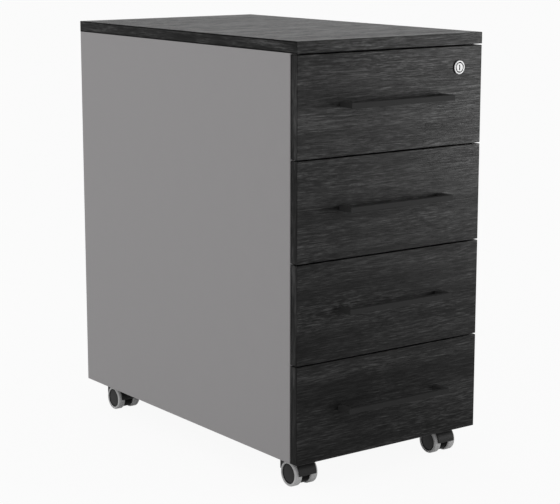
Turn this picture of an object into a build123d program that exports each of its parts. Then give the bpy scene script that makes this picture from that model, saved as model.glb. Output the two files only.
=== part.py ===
from build123d import *
import math
import os

# Mobile drawer pedestal: a folded steel carcass on twin-wheel casters, with a board top and board fronts.
# Millimetres, +Z up, the fronts face -Y. The origin is on the floor, under the middle of the overall box.

# Body and boards
BODY_WIDTH = 360.0
BODY_DEPTH = 622.0  # from the faces of the fronts to the rear
TOP_THICKNESS = 18.0
FRONT_THICKNESS = 16.0
FRONT_HEIGHT = 152.25
FRONT_GAP = 2.0  # open joint above each front
FRONT_REVEAL = 0.5  # how far a front stops inside the side panels
FRONT_BUFFER = 1.0  # gap between a closed front and the carcass
BOARD_EDGE = 0.8  # rounding of the board edges
DRAWER_COUNT = 4

# Folded sheet of the carcass
SHEET = 1.0
SIDE_DEPTH = 17.3  # thickness of a side panel over its folds
SIDE_BEND = 1.5  # outer radius of the folds of a side panel
FRONT_LIP = 14.0
REAR_LIP = 40.0
BASE_SHEET = 1.2
BASE_FLANGE = 9.0
TOP_RAIL_SHEET = 2.0
TOP_RAIL_DEPTH = 30.0
TOP_RAIL_DROP = 15.0

# Telescopic slides
RAIL_THICKNESS = 12.7  # from the side panel to the drawer box
RAIL_HEIGHT = 45.0
RAIL_SHEET = 1.2
RAIL_CLEARANCE = 0.3
RAIL_STEP = 1.0  # how much shorter each outer rail's flanges reach
RAIL_SETBACK = 3.0
REAR_CLEARANCE = 22.0  # free depth behind the rails and the drawer boxes

# Drawer boxes
BOX_SHEET = 1.0
BOX_LIFT = 12.0  # box floor above the lower edge of its front
RIM_CLEARANCE = 4.2  # box rim below the arm of the locking bar
LUG_DROP = 10.0  # middle of the lug below the box rim
LUG_REACH = 9.0
LUG_LENGTH = 10.0

# Handles
HANDLE_SPACING = 192.0  # between the screws
HANDLE_HEIGHT = 8.0
HANDLE_LEG = 10.0
HANDLE_BAR = 8.0  # thickness of the bar, front to back
HANDLE_REACH = 28.0  # from the front to the face of the bar
HANDLE_EDGE = 0.7
HANDLE_DROP = 75.0  # middle of the handle below the upper edge of its front
HANDLE_THREAD_DEPTH = 9.0

# Lock
LOCK_FROM_SIDE = 48.0
LOCK_DROP = 32.5  # lock axis below the upper edge of the top front
LOCK_FACE_DIAMETER = 22.0
LOCK_FACE_THICKNESS = 2.0
BARREL_DIAMETER = 18.0
BARREL_TAIL = 6.0  # barrel behind the front
PLUG_DIAMETER = 13.0
PLUG_FIT = 0.08
KEYWAY_WIDTH = 2.2
KEYWAY_HEIGHT = 8.0
KEYWAY_DEPTH = 7.0
CAM_DIAMETER = 16.0
CAM_THICKNESS = 3.0
CAM_CLEARANCE = 0.3
LOCK_THROW = 5.0  # drive pin off the lock axis
LOCK_TURN = 90.0
DRIVE_PIN_DIAMETER = 4.0
DRIVE_PIN_OVERRUN = 3.0

# Locking bar
BAR_WIDTH = 18.0
BAR_THICKNESS = 2.0
BAR_INSET = 3.3  # from the drawer side of the side panel to the bar
BAR_CLEARANCE = 0.3
BAR_SETBACK = 2.0  # from the front lip to the bar
BAR_FOOT = 30.0  # bar below the lowest peg
ARM_HALF_HEIGHT = 8.0
ARM_END = 4.0  # arm past the lock axis
SLOT_CLEARANCE = 0.5
PEG_DIAMETER = 5.0
PEG_SETBACK = 6.0
PEG_CLEARANCE = 1.0
PEG_TIP_CLEARANCE = 2.0
PEG_ABOVE_RAIL = 8.0
LOCK_PLAY = 2.0  # drawer travel before its lug meets a raised peg
GUIDE_WALL = 1.7
GUIDE_HEIGHT = 12.0
GUIDE_DROP = 18.0  # middle of a guide below its peg

# Screws
SCREW_DIAMETER = 4.0
SCREW_HEAD_DIAMETER = 7.6
SCREW_HEAD_HEIGHT = 1.9
SCREW_LENGTH = 10.0
SCREW_CLEARANCE = 0.1
SCREW_SLOT_WIDTH = 1.0
SCREW_SLOT_LENGTH = 4.0
SCREW_SLOT_DEPTH = 1.0
TOP_SCREW_FROM_END = 42.0
FRONT_SCREW_LENGTH = 12.0
FRONT_SCREW_FROM_SIDE = 25.0
FRONT_SCREW_FROM_EDGE = 14.0
PAN_HEAD_HEIGHT = 2.4

# Casters
WHEEL_DIAMETER = 40.0
WHEEL_WIDTH = 13.5
TYRE_THICKNESS = 4.0
TYRE_EDGE = 2.6
TYRE_FIT = 0.05
HUB_RECESS = 2.0
HUB_INSET = 1.0
HUB_CAP = 2.5
AXLE_DIAMETER = 6.0
AXLE_FIT = 0.05
AXLE_END_CLEARANCE = 0.3
WEB_WIDTH = 15.0
WEB_DIAMETER = 35.0  # web of the hood round the axle
WHEEL_GAP = 0.5
HOOD_WIDTH = 33.0
HOOD_CLEARANCE = 1.2
HOOD_WALL = 2.0
HOOD_EDGE = 0.6
HOUSING_REACH = 15.0  # hood behind the kingpin
HOUSING_CORNER = 5.0
HOUSING_LIFT = 1.5  # lower edge of the housing above the axle
HOOD_HEADROOM = 1.3  # hood below the caster plate
CASTER_TRAIL = 15.0
KINGPIN_DIAMETER = 8.0
KINGPIN_LENGTH = 20.5
KINGPIN_FIT = 0.05
THRUST_CLEARANCE = 0.3
PLATE_SIZE = 42.0
PLATE_THICKNESS = 2.5
PLATE_SCREW_OFFSET = 15.0
CASTER_SIDE_INSET = 39.0
CASTER_END_INSET = 42.5

# Heights, from the floor up
AXLE_Z = WHEEL_DIAMETER / 2
HOOD_INNER_RADIUS = WHEEL_DIAMETER / 2 + HOOD_CLEARANCE
HOOD_RADIUS = HOOD_INNER_RADIUS + HOOD_WALL
PLATE_Z = AXLE_Z + HOOD_RADIUS + HOOD_HEADROOM
BODY_Z = PLATE_Z + PLATE_THICKNESS
FRONT_PITCH = FRONT_HEIGHT + FRONT_GAP
TOP_Z = BODY_Z + DRAWER_COUNT * FRONT_PITCH

# Depths, from the rear forward
REAR_Y = (BODY_DEPTH + HANDLE_REACH) / 2
FRONT_FACE_Y = REAR_Y - BODY_DEPTH
FRONT_BACK_Y = FRONT_FACE_Y + FRONT_THICKNESS
CARCASS_Y = FRONT_BACK_Y + FRONT_BUFFER
RAIL_FRONT_Y = CARCASS_Y + RAIL_SETBACK
RAIL_REAR_Y = REAR_Y - REAR_CLEARANCE

# Widths, from the middle out
HALF_WIDTH = BODY_WIDTH / 2
INNER_X = HALF_WIDTH - SIDE_DEPTH
BOX_X = INNER_X - RAIL_THICKNESS

# Lock train: the pin swings evenly about the level of the lock axis and lifts the bar
LOCK_X = HALF_WIDTH - LOCK_FROM_SIDE
LOCK_Z = TOP_Z - FRONT_GAP - LOCK_DROP
PIN_RISE = LOCK_THROW * math.sin(math.radians(LOCK_TURN / 2))
PIN_OUT = LOCK_THROW * math.cos(math.radians(LOCK_TURN / 2))
BAR_LIFT = 2 * PIN_RISE
PIN_Z = LOCK_Z - PIN_RISE
ARM_LOW_Z = PIN_Z - ARM_HALF_HEIGHT
ARM_HIGH_Z = PIN_Z + ARM_HALF_HEIGHT
BAR_X = INNER_X + BAR_INSET
BAR_Y = CARCASS_Y + FRONT_LIP + BAR_SETBACK
ARM_REAR_Y = BAR_Y + BAR_THICKNESS
PEG_Y = BAR_Y + PEG_SETBACK

# Drawer heights, measured from the lower edge of a front
RIM = ARM_LOW_Z - RIM_CLEARANCE - (TOP_Z - FRONT_PITCH)
LUG = RIM - LUG_DROP
LUG_HALF_HEIGHT = BAR_LIFT - PEG_DIAMETER / 2 - PEG_CLEARANCE
PEG = LUG - BAR_LIFT
RAIL = PEG - PEG_DIAMETER / 2 - PEG_ABOVE_RAIL - RAIL_HEIGHT / 2
HANDLE = FRONT_HEIGHT - HANDLE_DROP

SCREW_RADIUS = SCREW_DIAMETER / 2
SCREW_HEAD_RADIUS = SCREW_HEAD_DIAMETER / 2
HANDLE_SCREW_X = HANDLE_SPACING / 2
FRONT_SCREW_X = BOX_X - FRONT_SCREW_FROM_SIDE


def block(x0, x1, y0, y1, z0, z1):
    middle = Pos((x0 + x1) / 2, (y0 + y1) / 2, (z0 + z1) / 2)
    return middle * Box(x1 - x0, y1 - y0, z1 - z0)


def rod_x(radius, x0, x1, y, z):
    return Pos((x0 + x1) / 2, y, z) * Rot(0, 90, 0) * Cylinder(radius, x1 - x0)


def rod_y(radius, x, y0, y1, z):
    return Pos(x, (y0 + y1) / 2, z) * Rot(90, 0, 0) * Cylinder(radius, y1 - y0)


def rod_z(radius, x, y, z0, z1):
    return Pos(x, y, (z0 + z1) / 2) * Cylinder(radius, z1 - z0)


def mirrored(shape):
    return mirror(shape, about=Plane.YZ)


def front_base(number):
    """Height of the lower edge of a front, with drawer 1 at the top."""
    return TOP_Z - number * FRONT_PITCH


def countersunk(x, y, z, extra, length):
    """Upward screw shape with its flat head at z, or the hole for it with extra all round."""
    shank = rod_z(SCREW_RADIUS + extra, x, y, z, z + length)
    cone = Cone(SCREW_HEAD_RADIUS + extra, SCREW_RADIUS + extra, SCREW_HEAD_HEIGHT)
    return shank + Pos(x, y, z + SCREW_HEAD_HEIGHT / 2) * cone


def cross_slot(x, y, z):
    half_length = SCREW_SLOT_LENGTH / 2
    half_width = SCREW_SLOT_WIDTH / 2
    along = block(x - half_length, x + half_length, y - half_width, y + half_width, z, z + SCREW_SLOT_DEPTH)
    across = block(x - half_width, x + half_width, y - half_length, y + half_length, z, z + SCREW_SLOT_DEPTH)
    return along + across


def kingpins():
    """Places of the four kingpins, by caster name."""
    side = HALF_WIDTH - CASTER_SIDE_INSET
    front = CARCASS_Y + CASTER_END_INSET
    rear = REAR_Y - CASTER_END_INSET
    return {
        "front_left": (-side, front),
        "front_right": (side, front),
        "rear_left": (-side, rear),
        "rear_right": (side, rear),
    }


def caster_screw_places():
    offsets = (-PLATE_SCREW_OFFSET, PLATE_SCREW_OFFSET)
    return [(x + dx, y + dy) for x, y in kingpins().values() for dx in offsets for dy in offsets]


def top_screw_places():
    x = INNER_X - TOP_SCREW_FROM_END
    front = CARCASS_Y + TOP_RAIL_DEPTH / 2
    rear = REAR_Y - SHEET - TOP_RAIL_DEPTH / 2
    return [(-x, front), (x, front), (-x, rear), (x, rear)]


def drawer_screw_places():
    """Places across a drawer's width and height: two for the handle, four for the front."""
    low = BOX_LIFT + FRONT_SCREW_FROM_EDGE
    high = RIM - FRONT_SCREW_FROM_EDGE
    handle = [(-HANDLE_SCREW_X, HANDLE), (HANDLE_SCREW_X, HANDLE)]
    front = [(side * FRONT_SCREW_X, height) for side in (-1, 1) for height in (low, high)]
    return handle, front


def top_panel():
    board = block(-HALF_WIDTH, HALF_WIDTH, FRONT_FACE_Y, REAR_Y, TOP_Z, TOP_Z + TOP_THICKNESS)
    board = fillet(board.edges(), BOARD_EDGE)
    depth = SCREW_LENGTH - TOP_RAIL_SHEET + SCREW_CLEARANCE
    for x, y in top_screw_places():
        board -= rod_z(SCREW_RADIUS + SCREW_CLEARANCE, x, y, TOP_Z, TOP_Z + depth)
    return board


def bar_guide(middle_z):
    """Bracket on the right side panel with a slot that the locking bar slides in."""
    low = middle_z - GUIDE_HEIGHT / 2
    high = middle_z + GUIDE_HEIGHT / 2
    wall = BAR_CLEARANCE + GUIDE_WALL
    bracket = block(BAR_X - wall, HALF_WIDTH - SHEET, BAR_Y - wall, BAR_Y + BAR_WIDTH + wall, low, high)
    slot = block(
        BAR_X - BAR_CLEARANCE,
        BAR_X + BAR_THICKNESS + BAR_CLEARANCE,
        BAR_Y - BAR_CLEARANCE,
        BAR_Y + BAR_WIDTH + BAR_CLEARANCE,
        low,
        high,
    )
    return bracket - slot


def side_pan():
    """Right side panel: one sheet folded in at the front and the rear, each fold ending in a lip."""
    pan = block(INNER_X, HALF_WIDTH, CARCASS_Y, REAR_Y, BODY_Z, TOP_Z)
    outer_folds = pan.edges().filter_by(Axis.Z).group_by(Axis.X)[-1]
    pan = fillet(outer_folds, SIDE_BEND)
    hollow = block(INNER_X + SHEET, HALF_WIDTH - SHEET, CARCASS_Y + SHEET, REAR_Y - SHEET, BODY_Z, TOP_Z)
    mouth = block(INNER_X, INNER_X + SHEET, CARCASS_Y + FRONT_LIP, REAR_Y - REAR_LIP, BODY_Z, TOP_Z)
    return pan - hollow - mouth


def right_side_panel():
    panel = side_pan()
    for number in (1, DRAWER_COUNT):
        panel += bar_guide(front_base(number) + PEG - GUIDE_DROP)
    return panel


def back_panel():
    return block(-INNER_X, INNER_X, REAR_Y - SHEET, REAR_Y, BODY_Z, TOP_Z)


def bottom_panel():
    rear = REAR_Y - SHEET
    flange_z = BODY_Z + BASE_FLANGE
    tray = block(-INNER_X, INNER_X, CARCASS_Y, rear, BODY_Z, BODY_Z + BASE_SHEET)
    tray += block(-INNER_X, INNER_X, CARCASS_Y, CARCASS_Y + BASE_SHEET, BODY_Z, flange_z)
    tray += block(-INNER_X, INNER_X, rear - BASE_SHEET, rear, BODY_Z, flange_z)
    for x, y in caster_screw_places():
        tray -= rod_z(SCREW_RADIUS + SCREW_CLEARANCE, x, y, BODY_Z, BODY_Z + BASE_SHEET)
    return tray


def top_rails():
    """Two angle rails under the top, upright legs to the front and to the rear."""
    low = TOP_Z - TOP_RAIL_DROP
    flat = TOP_Z - TOP_RAIL_SHEET
    rear = REAR_Y - SHEET
    front_rail = block(-INNER_X, INNER_X, CARCASS_Y, CARCASS_Y + TOP_RAIL_DEPTH, flat, TOP_Z)
    front_rail += block(-INNER_X, INNER_X, CARCASS_Y, CARCASS_Y + TOP_RAIL_SHEET, low, TOP_Z)
    rear_rail = block(-INNER_X, INNER_X, rear - TOP_RAIL_DEPTH, rear, flat, TOP_Z)
    rear_rail += block(-INNER_X, INNER_X, rear - TOP_RAIL_SHEET, rear, low, TOP_Z)
    for x, y in top_screw_places():
        hole = countersunk(x, y, flat, SCREW_CLEARANCE, SCREW_LENGTH)
        front_rail -= hole
        rear_rail -= hole
    return [front_rail, rear_rail]


def carcass_screws():
    seats = [(x, y, TOP_Z - TOP_RAIL_SHEET) for x, y in top_screw_places()]
    seats += [(x, y, PLATE_Z) for x, y in caster_screw_places()]
    return [countersunk(x, y, z, 0, SCREW_LENGTH) - cross_slot(x, y, z) for x, y, z in seats]


def channel(x0, x1, half_height, middle_z, web_outside):
    """Right-hand slide rail: a channel along Y with its web on the outer or the inner side."""
    low = middle_z - half_height
    high = middle_z + half_height
    hollow_x0 = x0 if web_outside else x0 + RAIL_SHEET
    hollow_x1 = x1 - RAIL_SHEET if web_outside else x1
    rail = block(x0, x1, RAIL_FRONT_Y, RAIL_REAR_Y, low, high)
    hollow = block(hollow_x0, hollow_x1, RAIL_FRONT_Y, RAIL_REAR_Y, low + RAIL_SHEET, high - RAIL_SHEET)
    return rail - hollow


def slide_rails(number):
    """Cabinet, middle and drawer rails of one drawer, each as a right and left pair."""
    middle_z = front_base(number) + RAIL
    nest = RAIL_SHEET + RAIL_CLEARANCE
    half = RAIL_HEIGHT / 2
    web_end = BOX_X + RAIL_SHEET
    cabinet = channel(web_end + 2 * RAIL_STEP, INNER_X, half, middle_z, True)
    middle = channel(web_end + RAIL_STEP, INNER_X - nest, half - nest, middle_z, True)
    drawer = channel(BOX_X, INNER_X - 2 * nest, half - 2 * nest, middle_z, False)
    return [[rail, mirrored(rail)] for rail in (cabinet, middle, drawer)]


def drawer_front(number):
    low = front_base(number)
    half = HALF_WIDTH - FRONT_REVEAL
    board = block(-half, half, FRONT_FACE_Y, FRONT_BACK_Y, low, low + FRONT_HEIGHT)
    board = fillet(board.edges(), BOARD_EDGE)
    handle, front = drawer_screw_places()
    hole = SCREW_RADIUS + SCREW_CLEARANCE
    pilot_end = FRONT_BACK_Y + BOX_SHEET - FRONT_SCREW_LENGTH - SCREW_CLEARANCE
    for x, height in handle:
        board -= rod_y(hole, x, FRONT_FACE_Y, FRONT_BACK_Y, low + height)
    for x, height in front:
        board -= rod_y(hole, x, pilot_end, FRONT_BACK_Y, low + height)
    if number == 1:
        board -= rod_y(BARREL_DIAMETER / 2 + SCREW_CLEARANCE, LOCK_X, FRONT_FACE_Y, FRONT_BACK_Y, LOCK_Z)
    return board


def drawer_handle(number):
    """Bar with a square leg at each end, seated on the front and threaded for its screws."""
    middle_z = front_base(number) + HANDLE
    half = (HANDLE_SPACING + HANDLE_LEG) / 2
    low = middle_z - HANDLE_HEIGHT / 2
    high = middle_z + HANDLE_HEIGHT / 2
    face = FRONT_FACE_Y - HANDLE_REACH
    grip = block(-half, half, face, FRONT_FACE_Y, low, high)
    grip -= block(HANDLE_LEG - half, half - HANDLE_LEG, face + HANDLE_BAR, FRONT_FACE_Y, low, high)
    seat = grip.edges().group_by(Axis.Y)[-1]
    grip = fillet([edge for edge in grip.edges() if edge not in seat], HANDLE_EDGE)
    for x in (-HANDLE_SCREW_X, HANDLE_SCREW_X):
        thread_end = FRONT_FACE_Y - HANDLE_THREAD_DEPTH
        grip -= rod_y(SCREW_RADIUS + SCREW_CLEARANCE, x, thread_end, FRONT_FACE_Y, middle_z)
    return grip


def drawer_box(number):
    """Welded box of five plates with the lug of the central lock on its right side."""
    low = front_base(number) + BOX_LIFT
    high = front_base(number) + RIM
    inside = BOX_X - BOX_SHEET
    front_y = FRONT_BACK_Y + BOX_SHEET
    rear_y = RAIL_REAR_Y - BOX_SHEET
    lug_y = PEG_Y + PEG_DIAMETER / 2 + LOCK_PLAY
    lug_z = front_base(number) + LUG
    hole = SCREW_RADIUS + SCREW_CLEARANCE
    front = block(-BOX_X, BOX_X, FRONT_BACK_Y, front_y, low, high)
    handle_screws, front_screws = drawer_screw_places()
    for x, height in handle_screws + front_screws:
        front -= rod_y(hole, x, FRONT_BACK_Y, front_y, front_base(number) + height)
    back = block(-BOX_X, BOX_X, rear_y, RAIL_REAR_Y, low, high)
    floor = block(-inside, inside, front_y, rear_y, low, low + BOX_SHEET)
    right = block(inside, BOX_X, front_y, rear_y, low, high)
    lug = block(
        BOX_X,
        BOX_X + LUG_REACH,
        lug_y,
        lug_y + LUG_LENGTH,
        lug_z - LUG_HALF_HEIGHT,
        lug_z + LUG_HALF_HEIGHT,
    )
    return [front, back, floor, right, mirrored(right), lug]


def drawer_screws(number):
    """Pan head screws from inside the box: long ones into the handle, short ones into the front."""
    seat = FRONT_BACK_Y + BOX_SHEET
    handle, front = drawer_screw_places()
    handle_length = seat - FRONT_FACE_Y + HANDLE_THREAD_DEPTH - SCREW_CLEARANCE
    screws = []
    for places, length in ((handle, handle_length), (front, FRONT_SCREW_LENGTH)):
        for x, height in places:
            z = front_base(number) + height
            head = rod_y(SCREW_HEAD_RADIUS, x, seat, seat + PAN_HEAD_HEIGHT, z)
            screws.append(head + rod_y(SCREW_RADIUS, x, seat - length, seat, z))
    return screws


def lock_barrel():
    rear = FRONT_BACK_Y + BARREL_TAIL
    face = FRONT_FACE_Y - LOCK_FACE_THICKNESS
    barrel = rod_y(BARREL_DIAMETER / 2, LOCK_X, FRONT_FACE_Y, rear, LOCK_Z)
    barrel += rod_y(LOCK_FACE_DIAMETER / 2, LOCK_X, face, FRONT_FACE_Y, LOCK_Z)
    return barrel - rod_y(PLUG_DIAMETER / 2 + PLUG_FIT, LOCK_X, face, rear, LOCK_Z)


def lock_plug():
    """Key plug with the cam and drive pin on its tail, in the unlocked place."""
    face = FRONT_FACE_Y - LOCK_FACE_THICKNESS
    cam_y = FRONT_BACK_Y + BARREL_TAIL + CAM_CLEARANCE
    pin_y = cam_y + CAM_THICKNESS
    plug = rod_y(PLUG_DIAMETER / 2, LOCK_X, face, cam_y, LOCK_Z)
    plug += rod_y(CAM_DIAMETER / 2, LOCK_X, cam_y, pin_y, LOCK_Z)
    plug += rod_y(DRIVE_PIN_DIAMETER / 2, LOCK_X + PIN_OUT, pin_y, ARM_REAR_Y + DRIVE_PIN_OVERRUN, PIN_Z)
    keyway = block(
        LOCK_X - KEYWAY_WIDTH / 2,
        LOCK_X + KEYWAY_WIDTH / 2,
        face,
        face + KEYWAY_DEPTH,
        LOCK_Z - KEYWAY_HEIGHT / 2,
        LOCK_Z + KEYWAY_HEIGHT / 2,
    )
    return plug - keyway


def locking_bar():
    """Strip in the right side panel with an arm to the lock and a peg for each drawer."""
    pegs = [front_base(number) + PEG for number in range(1, DRAWER_COUNT + 1)]
    strip = block(BAR_X, BAR_X + BAR_THICKNESS, BAR_Y, BAR_Y + BAR_WIDTH, min(pegs) - BAR_FOOT, ARM_HIGH_Z)
    arm = block(LOCK_X - ARM_END, BAR_X, BAR_Y, ARM_REAR_Y, ARM_LOW_Z, ARM_HIGH_Z)
    reach = DRIVE_PIN_DIAMETER / 2 + SLOT_CLEARANCE
    slot_x0 = LOCK_X + PIN_OUT - reach
    slot_x1 = LOCK_X + LOCK_THROW + reach
    arm -= block(slot_x0, slot_x1, BAR_Y, ARM_REAR_Y, PIN_Z - reach, PIN_Z + reach)
    tip = BOX_X + PEG_TIP_CLEARANCE
    return [strip, arm] + [rod_x(PEG_DIAMETER / 2, tip, BAR_X, PEG_Y, z) for z in pegs]


def caster_plates():
    """Screwed plates with their kingpins riveted underneath."""
    half = PLATE_SIZE / 2
    solids = []
    for x, y in kingpins().values():
        plate = block(x - half, x + half, y - half, y + half, PLATE_Z, BODY_Z)
        for dx in (-PLATE_SCREW_OFFSET, PLATE_SCREW_OFFSET):
            for dy in (-PLATE_SCREW_OFFSET, PLATE_SCREW_OFFSET):
                plate -= countersunk(x + dx, y + dy, PLATE_Z, SCREW_CLEARANCE, SCREW_LENGTH)
        pin = rod_z(KINGPIN_DIAMETER / 2, x, y, PLATE_Z - KINGPIN_LENGTH, PLATE_Z)
        solids += [plate, pin]
    return solids


def caster_hood(x, y):
    """Fender over both wheels with a housing behind them, and the web between them that holds the axle."""
    axle_y = y - CASTER_TRAIL
    half = HOOD_WIDTH / 2
    front = axle_y - HOOD_RADIUS
    rear = y + HOUSING_REACH
    housing = block(x - half, x + half, axle_y, rear, AXLE_Z + HOUSING_LIFT, AXLE_Z + HOOD_RADIUS)
    corners = housing.edges().filter_by(Axis.Z).group_by(Axis.Y)[-1]
    fender = rod_x(HOOD_RADIUS, x - half, x + half, axle_y, AXLE_Z)
    fender -= block(x - half, x + half, front, axle_y, AXLE_Z - HOOD_RADIUS, AXLE_Z)
    fender -= block(x - half, x + half, axle_y, rear, AXLE_Z - HOOD_RADIUS, AXLE_Z + HOUSING_LIFT)
    fender += fillet(corners, HOUSING_CORNER)
    fender -= rod_x(HOOD_INNER_RADIUS, x - half, x + half, axle_y, AXLE_Z)
    fender = fillet(fender.edges(), HOOD_EDGE)
    web_half = WEB_WIDTH / 2
    web = rod_x(HOOD_INNER_RADIUS + HOOD_WALL / 2, x - web_half, x + web_half, axle_y, AXLE_Z)
    web -= block(x - web_half, x + web_half, front, rear, AXLE_Z - HOOD_RADIUS, AXLE_Z)
    web += rod_x(WEB_DIAMETER / 2, x - web_half, x + web_half, axle_y, AXLE_Z)
    boss_top = PLATE_Z - THRUST_CLEARANCE
    pin_end = PLATE_Z - KINGPIN_LENGTH - THRUST_CLEARANCE
    hood = fender + web + rod_z(web_half, x, y, AXLE_Z, boss_top)
    hood -= rod_z(KINGPIN_DIAMETER / 2 + KINGPIN_FIT, x, y, pin_end, boss_top)
    return hood - rod_x(AXLE_DIAMETER / 2 + AXLE_FIT, x - web_half, x + web_half, axle_y, AXLE_Z)


def caster_axle(x, y):
    reach = WHEEL_WIDTH - HUB_RECESS - HUB_CAP - AXLE_END_CLEARANCE
    half = WEB_WIDTH / 2 + WHEEL_GAP + reach
    return rod_x(AXLE_DIAMETER / 2, x - half, x + half, y - CASTER_TRAIL, AXLE_Z)


def caster_wheel(x, y):
    """Hub with a closed cap and the tyre round it, for the right wheel of a caster."""
    axle_y = y - CASTER_TRAIL
    inner = x + WEB_WIDTH / 2 + WHEEL_GAP
    outer = inner + WHEEL_WIDTH
    tyre_bore = WHEEL_DIAMETER / 2 - TYRE_THICKNESS
    hub_end = outer - HUB_RECESS
    tyre = rod_x(WHEEL_DIAMETER / 2, inner, outer, axle_y, AXLE_Z)
    tyre = fillet(tyre.edges().filter_by(GeomType.CIRCLE), TYRE_EDGE)
    tyre -= rod_x(tyre_bore, inner, outer, axle_y, AXLE_Z)
    hub = rod_x(tyre_bore - TYRE_FIT, inner + HUB_INSET, hub_end, axle_y, AXLE_Z)
    hub -= rod_x(AXLE_DIAMETER / 2 + AXLE_FIT, inner + HUB_INSET, hub_end - HUB_CAP, axle_y, AXLE_Z)
    return hub, tyre


def drawer_nodes(number):
    name = f"drawer_{number}"
    _, middle_rails, drawer_rails = slide_rails(number)
    return {
        f"{name}_front": drawer_front(number),
        f"{name}_handle": drawer_handle(number),
        f"{name}_box": drawer_box(number),
        f"{name}_screws": drawer_screws(number),
        f"{name}_rails": drawer_rails,
        f"slide_{number}_middle_rails": middle_rails,
    }


def caster_nodes(place, x, y):
    name = f"{place}_caster"
    right_hub, right_tyre = caster_wheel(x, y)
    to_left = Pos(2 * x, 0, 0)
    return {
        f"{name}_hood": caster_hood(x, y),
        f"{name}_axle": caster_axle(x, y),
        f"{name}_left_hub": to_left * mirrored(right_hub),
        f"{name}_left_tyre": to_left * mirrored(right_tyre),
        f"{name}_right_hub": right_hub,
        f"{name}_right_tyre": right_tyre,
    }


def all_nodes():
    numbers = range(1, DRAWER_COUNT + 1)
    nodes = {
        "top_panel": top_panel(),
        "left_side_panel": mirrored(side_pan()),
        "right_side_panel": right_side_panel(),
        "back_panel": back_panel(),
        "bottom_panel": bottom_panel(),
        "top_rails": top_rails(),
        "cabinet_rails": [rail for number in numbers for rail in slide_rails(number)[0]],
        "carcass_screws": carcass_screws(),
        "caster_plates": caster_plates(),
        "lock_barrel": lock_barrel(),
        "lock_plug": lock_plug(),
        "locking_bar": locking_bar(),
    }
    for number in numbers:
        nodes.update(drawer_nodes(number))
    for place, (x, y) in kingpins().items():
        nodes.update(caster_nodes(place, x, y))
    return nodes


os.makedirs("parts", exist_ok=True)
for node, shape in all_nodes().items():
    solids = shape if isinstance(shape, list) else [shape]
    bodies = [solid for piece in solids for solid in piece.solids()]
    export_step(bodies[0] if len(bodies) == 1 else Compound(bodies), f"parts/{node}.step")
print(f"width {BODY_WIDTH}, depth {BODY_DEPTH + HANDLE_REACH}, height {TOP_Z + TOP_THICKNESS}")
print(f"bar lift {BAR_LIFT:.3f}, rim {RIM:.2f}, rail {RAIL:.2f}, lug {LUG:.2f}, peg {PEG:.2f}")
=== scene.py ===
"""Looks of a mobile drawer pedestal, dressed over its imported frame. Metres, fronts towards -Y."""
import math

import bmesh
import bpy
from mathutils import Matrix, Vector


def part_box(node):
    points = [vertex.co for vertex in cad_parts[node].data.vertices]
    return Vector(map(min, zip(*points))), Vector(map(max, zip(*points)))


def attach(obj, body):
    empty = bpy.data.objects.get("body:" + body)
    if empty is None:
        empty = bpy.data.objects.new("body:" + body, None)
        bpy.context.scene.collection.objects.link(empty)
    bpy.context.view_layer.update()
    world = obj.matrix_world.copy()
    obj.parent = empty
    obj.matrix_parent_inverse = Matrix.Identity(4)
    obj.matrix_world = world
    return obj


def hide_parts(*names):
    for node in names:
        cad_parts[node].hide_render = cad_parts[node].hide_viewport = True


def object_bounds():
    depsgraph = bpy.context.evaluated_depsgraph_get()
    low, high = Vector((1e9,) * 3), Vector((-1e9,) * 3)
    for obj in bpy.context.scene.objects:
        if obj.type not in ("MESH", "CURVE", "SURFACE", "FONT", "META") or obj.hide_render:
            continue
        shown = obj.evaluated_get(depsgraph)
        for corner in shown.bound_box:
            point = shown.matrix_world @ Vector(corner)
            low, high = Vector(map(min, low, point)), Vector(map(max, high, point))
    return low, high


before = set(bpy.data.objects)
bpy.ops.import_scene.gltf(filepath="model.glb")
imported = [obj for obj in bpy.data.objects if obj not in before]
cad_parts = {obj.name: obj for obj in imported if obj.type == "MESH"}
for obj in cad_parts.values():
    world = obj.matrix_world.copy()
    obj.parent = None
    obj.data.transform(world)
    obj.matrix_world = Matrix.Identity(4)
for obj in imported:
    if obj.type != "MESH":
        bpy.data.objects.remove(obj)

cad_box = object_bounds()

MM = 0.001
DRAWERS = (1, 2, 3, 4)
CASTERS = ("front_left", "front_right", "rear_left", "rear_right")
SIDES = {"left": -1, "right": 1}

# Meshes: steps of a turned shape, how near counts as the same place, and the edges that stay sharp
LATHE_STEPS = 96
SAME_POINT = 0.001 * MM
SAME_RING = 0.01 * MM
SHARP_EDGE = math.radians(35)

# Camera, as the photograph was taken. Its middle Y is halfway between the fronts and the back
IMAGE_WIDTH = 560
FOCAL_PIXELS = 1688.4
SENSOR_WIDTH = 36.0
VIEW_AZIMUTH = math.radians(-36.32)
VIEW_ELEVATION = math.radians(11.11)
VIEW_DISTANCE = 2.8287
VIEW_MIDDLE_Y = 0.014
VIEW_RIGHT = 0.0148
VIEW_UP = -0.0351

# Floor and surroundings: how much of the seen floor is plain white, the rest shows paint and shadow
FLOOR_REACH = 30.0
FLOOR_WHITE = 0.93
FLOOR_PAINT = 0.70
ROOM_LIGHT = 0.68

# Wheels. The hub's dome bends at a share of its height and of its radius
SHOULDER = 2.6 * MM
TREAD_SEAM = 0.15 * MM
TYRE_LIP = 0.7 * MM
HUB_SETBACK = 1.6 * MM
HUB_GROOVE = 1.1 * MM
HUB_GROOVE_DEPTH = 0.9 * MM
HUB_EDGE = 0.3 * MM
HUB_DOME = 0.5 * MM
DOME_BEND_HEIGHT = 0.7
DOME_BEND_RADIUS = 0.6
HUB_BACK = 1.0 * MM
AXLE_BORE = 3.05 * MM
AXLE_CAP = 2.5 * MM

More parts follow.
